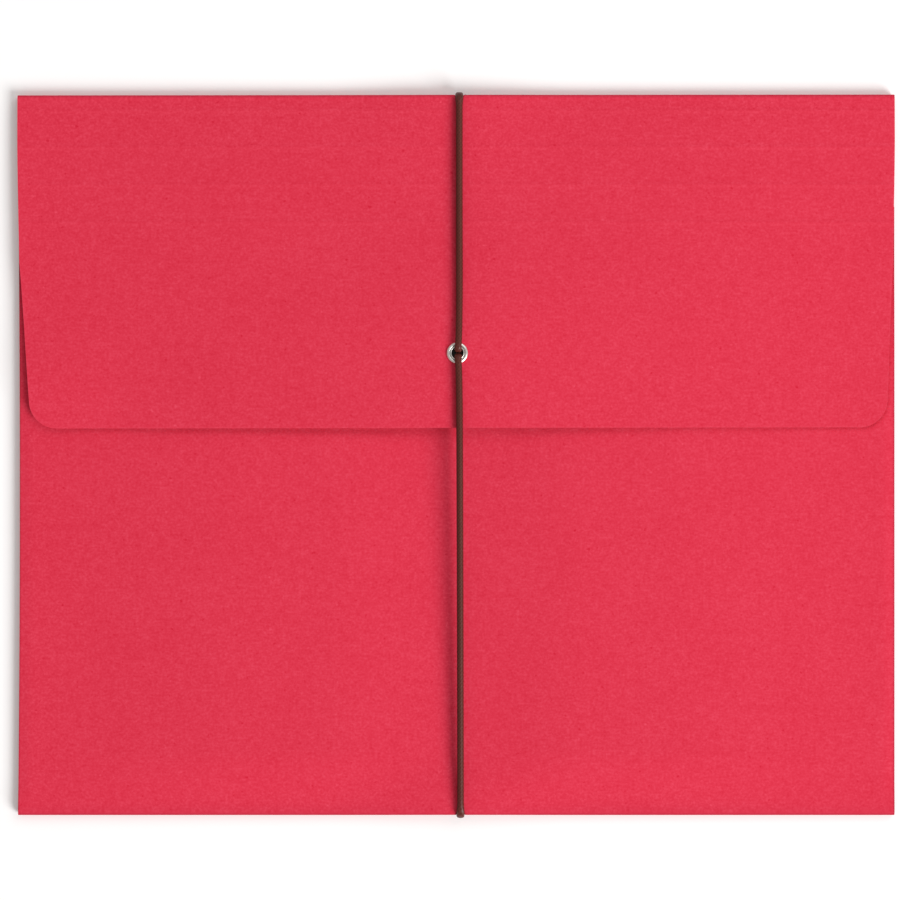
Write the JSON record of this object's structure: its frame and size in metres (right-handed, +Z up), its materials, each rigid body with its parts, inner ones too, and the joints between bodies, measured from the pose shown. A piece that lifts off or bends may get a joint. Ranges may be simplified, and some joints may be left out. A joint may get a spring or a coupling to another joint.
{
  "type": "expanding file wallet",
  "caption": "Flat red paper file wallet with pleated side gussets, a scored fold-over flap, a metal eyelet and a round elastic cord that loops over the top and bottom edges.",
  "frame": {"origin": "under the middle of the wallet, at the level of the surface that it lies on", "axes": "+X across the width, +Y towards the top fold, +Z up through the thickness, out of the flap"},
  "size_m": [0.2986, 0.2472, 0.0113],
  "materials": {
    "red_paper": "matte",
    "gusset_paper": "matte",
    "nickel": "satin",
    "brown_elastic": "matte"
  },
  "bodies": {
    "wallet_body": {"back_panel": "red_paper", "bottom_fold": "red_paper", "top_fold": "red_paper", "left_gusset_rear_tab": "gusset_paper", "right_gusset_rear_tab": "gusset_paper"},
    "front": {"front_panel": "red_paper", "left_gusset_front_tab": "gusset_paper", "right_gusset_front_tab": "gusset_paper"},
    "gusset_1": {"left_gusset_leaf_1": "gusset_paper", "right_gusset_leaf_1": "gusset_paper"},
    "gusset_2": {"left_gusset_leaf_2": "gusset_paper", "right_gusset_leaf_2": "gusset_paper"},
    "gusset_3": {"left_gusset_leaf_3": "gusset_paper", "right_gusset_leaf_3": "gusset_paper"},
    "gusset_4": {"left_gusset_leaf_4": "gusset_paper", "right_gusset_leaf_4": "gusset_paper"},
    "flap": {"flap": "red_paper", "eyelet": "nickel", "eyelet_washer": "nickel", "cord_crimp": "nickel", "elastic_cord": "brown_elastic"}
  },
  "joints": [
    {"name": "flap_open", "type": "hinge", "parent": "wallet_body", "child": "flap", "pos_m": [0, 0.12099, 0.0036], "axis": [-1, 0, 0], "range_deg": [0, 175], "deforming": ["top_fold", "elastic_cord"]},
    {"name": "front_expand", "type": "hinge", "parent": "wallet_body", "child": "front", "pos_m": [0, -0.12075, 0.00175], "axis": [1, 0, 0], "range_deg": [0, 12]},
    {"name": "gusset_1_fan", "type": "hinge", "parent": "wallet_body", "child": "gusset_1", "pos_m": [0, -0.12075, 0.00175], "axis": [1, 0, 0], "range_deg": [0, 2.4]},
    {"name": "gusset_2_fan", "type": "hinge", "parent": "wallet_body", "child": "gusset_2", "pos_m": [0, -0.12075, 0.00175], "axis": [1, 0, 0], "range_deg": [0, 4.8]},
    {"name": "gusset_3_fan", "type": "hinge", "parent": "wallet_body", "child": "gusset_3", "pos_m": [0, -0.12075, 0.00175], "axis": [1, 0, 0], "range_deg": [0, 7.2]},
    {"name": "gusset_4_fan", "type": "hinge", "parent": "wallet_body", "child": "gusset_4", "pos_m": [0, -0.12075, 0.00175], "axis": [1, 0, 0], "range_deg": [0, 9.6]}
  ],
  "couplings": [
    {"joint": "front_expand", "follows": "flap_open", "ratio": 0.068571},
    {"joint": "gusset_1_fan", "follows": "flap_open", "ratio": 0.013714},
    {"joint": "gusset_2_fan", "follows": "flap_open", "ratio": 0.027429},
    {"joint": "gusset_3_fan", "follows": "flap_open", "ratio": 0.041143},
    {"joint": "gusset_4_fan", "follows": "flap_open", "ratio": 0.054857}
  ]
}
